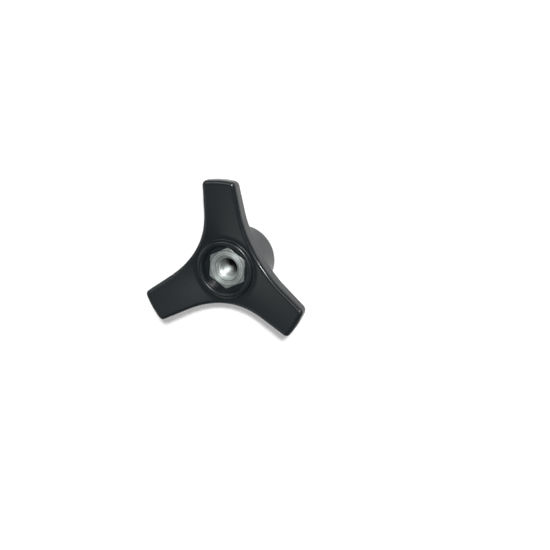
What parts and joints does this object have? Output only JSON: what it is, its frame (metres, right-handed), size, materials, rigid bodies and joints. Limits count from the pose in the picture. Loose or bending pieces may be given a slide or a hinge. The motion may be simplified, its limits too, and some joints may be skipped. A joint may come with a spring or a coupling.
{
  "type": "star knob",
  "caption": "Dished star knob with tapering arms, a round hub and a hexagonal metal insert threaded right through, for clamping by hand on a stud.",
  "frame": {"origin": "centre of the hub's end face, where the knob clamps", "axes": "+Z along the thread's axis from the clamping face towards the hand, +Y along one arm"},
  "size_m": [0.0858, 0.0754, 0.0315],
  "materials": {
    "black_polyamide": "satin",
    "zinc_plated_steel": "turned"
  },
  "bodies": {
    "root": {"knob_body": "black_polyamide", "hex_insert": "zinc_plated_steel"}
  },
  "joints": []
}
